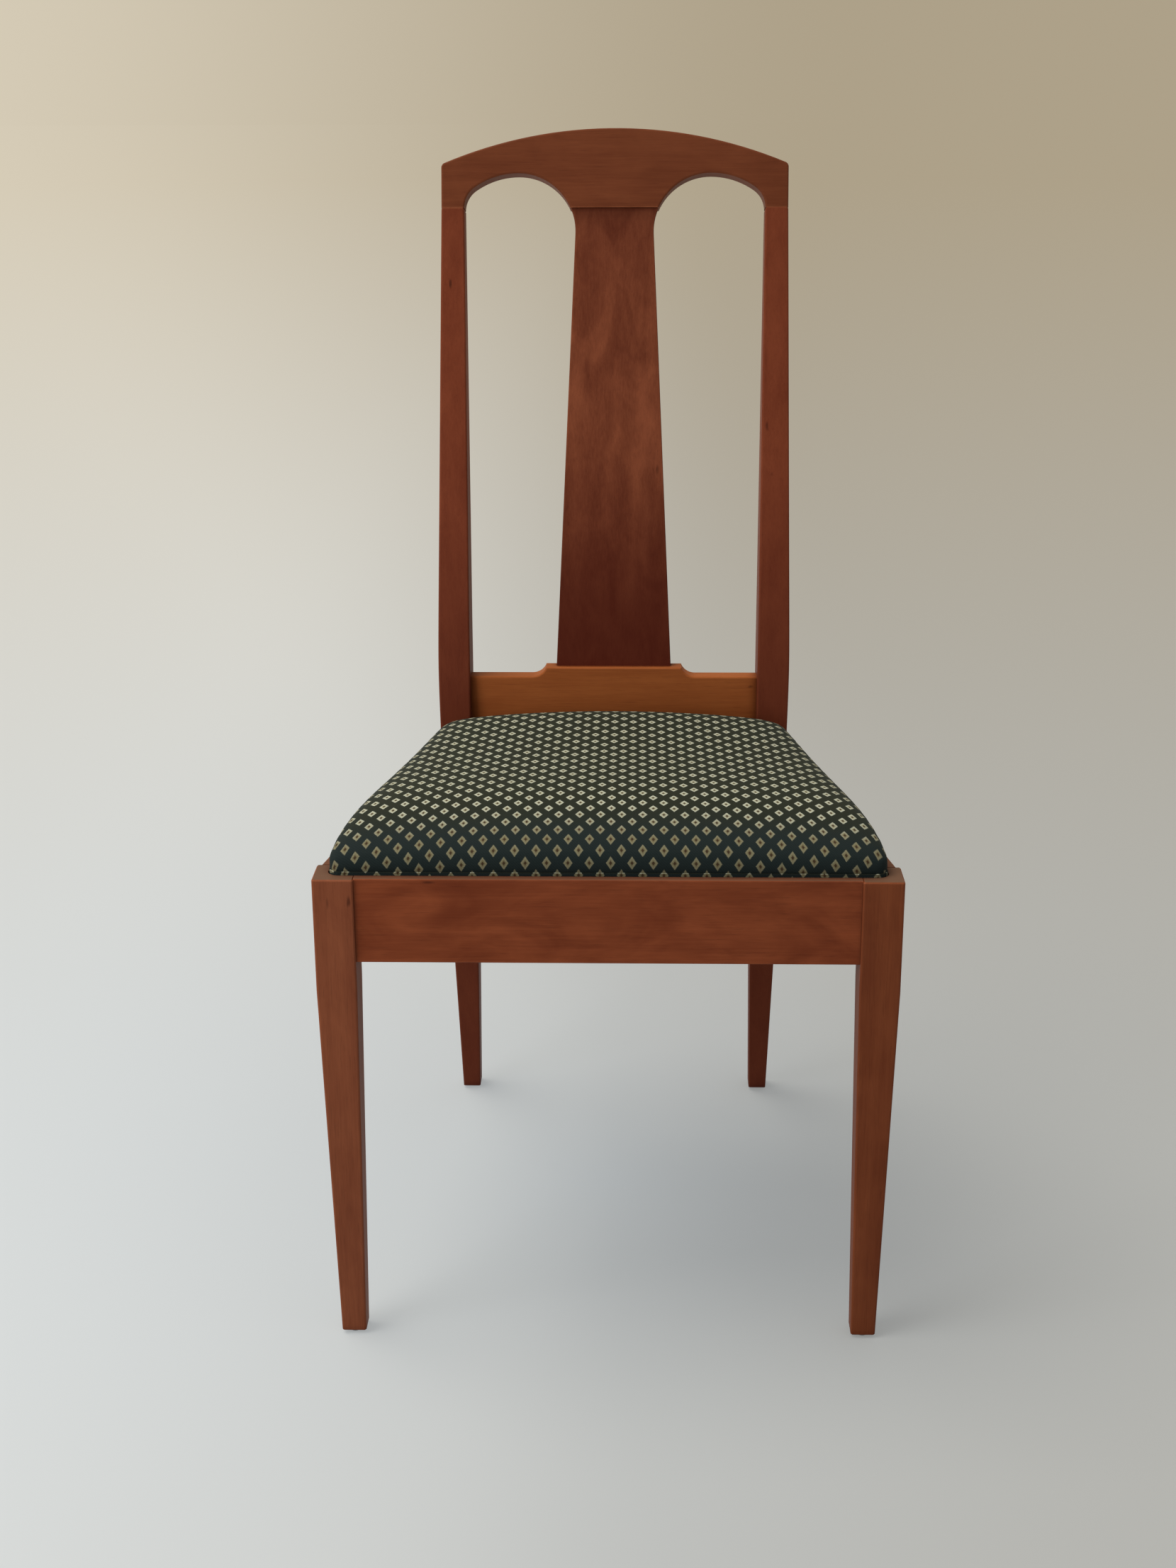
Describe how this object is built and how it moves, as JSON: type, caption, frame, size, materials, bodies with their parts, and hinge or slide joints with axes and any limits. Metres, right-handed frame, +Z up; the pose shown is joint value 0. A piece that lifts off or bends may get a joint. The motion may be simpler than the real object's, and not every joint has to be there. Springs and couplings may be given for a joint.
{
  "type": "side chair",
  "caption": "Wooden side chair with an arched crest rail, a plain tapered splat, tapered front legs, raked back posts and a loose upholstered seat that drops into the rails",
  "frame": {"origin": "on the floor, under the middle of the chair's overall width and depth", "axes": "X runs across the chair with +X at the right side seen from the front; Y runs from the front of the seat (-Y) to the back (+Y); Z is up"},
  "size_m": [0.491, 0.559, 1.0136],
  "materials": {
    "show_wood": "satin reddish-brown stain",
    "block_wood": "unfinished hardwood",
    "plywood": "unfinished plywood",
    "foam": "open-cell foam",
    "seat_fabric": "woven dark green with small cream diamonds",
    "dust_cloth": "thin black cloth",
    "steel": "plain steel",
    "glide_plastic": "dark plastic"
  },
  "bodies": {
    "chair_frame": {"front_leg_left": "show_wood", "front_leg_right": "show_wood", "back_post_left": "show_wood", "back_post_right": "show_wood", "side_seat_rail_left": "show_wood", "side_seat_rail_right": "show_wood", "front_seat_rail": "show_wood", "rear_seat_rail": "show_wood", "crest_rail": "show_wood", "splat": "show_wood", "shoe_rail": "show_wood", "corner_block_front_left": "block_wood", "corner_block_front_right": "block_wood", "corner_block_rear_left": "block_wood", "corner_block_rear_right": "block_wood", "crest_dowels": "block_wood", "corner_block_screws": "steel", "glide_front_left": "glide_plastic", "glide_front_right": "glide_plastic", "glide_rear_left": "glide_plastic", "glide_rear_right": "glide_plastic"},
    "loose_seat": {"seat_board": "plywood", "seat_foam": "foam", "seat_cover": "seat_fabric", "dust_cover": "dust_cloth", "dust_cover_tacks": "steel"}
  },
  "joints": [
    {"name": "seat_lift", "type": "slide", "parent": "chair_frame", "child": "loose_seat", "axis": [0, 0, 1], "range_m": [0, 0.12]}
  ]
}
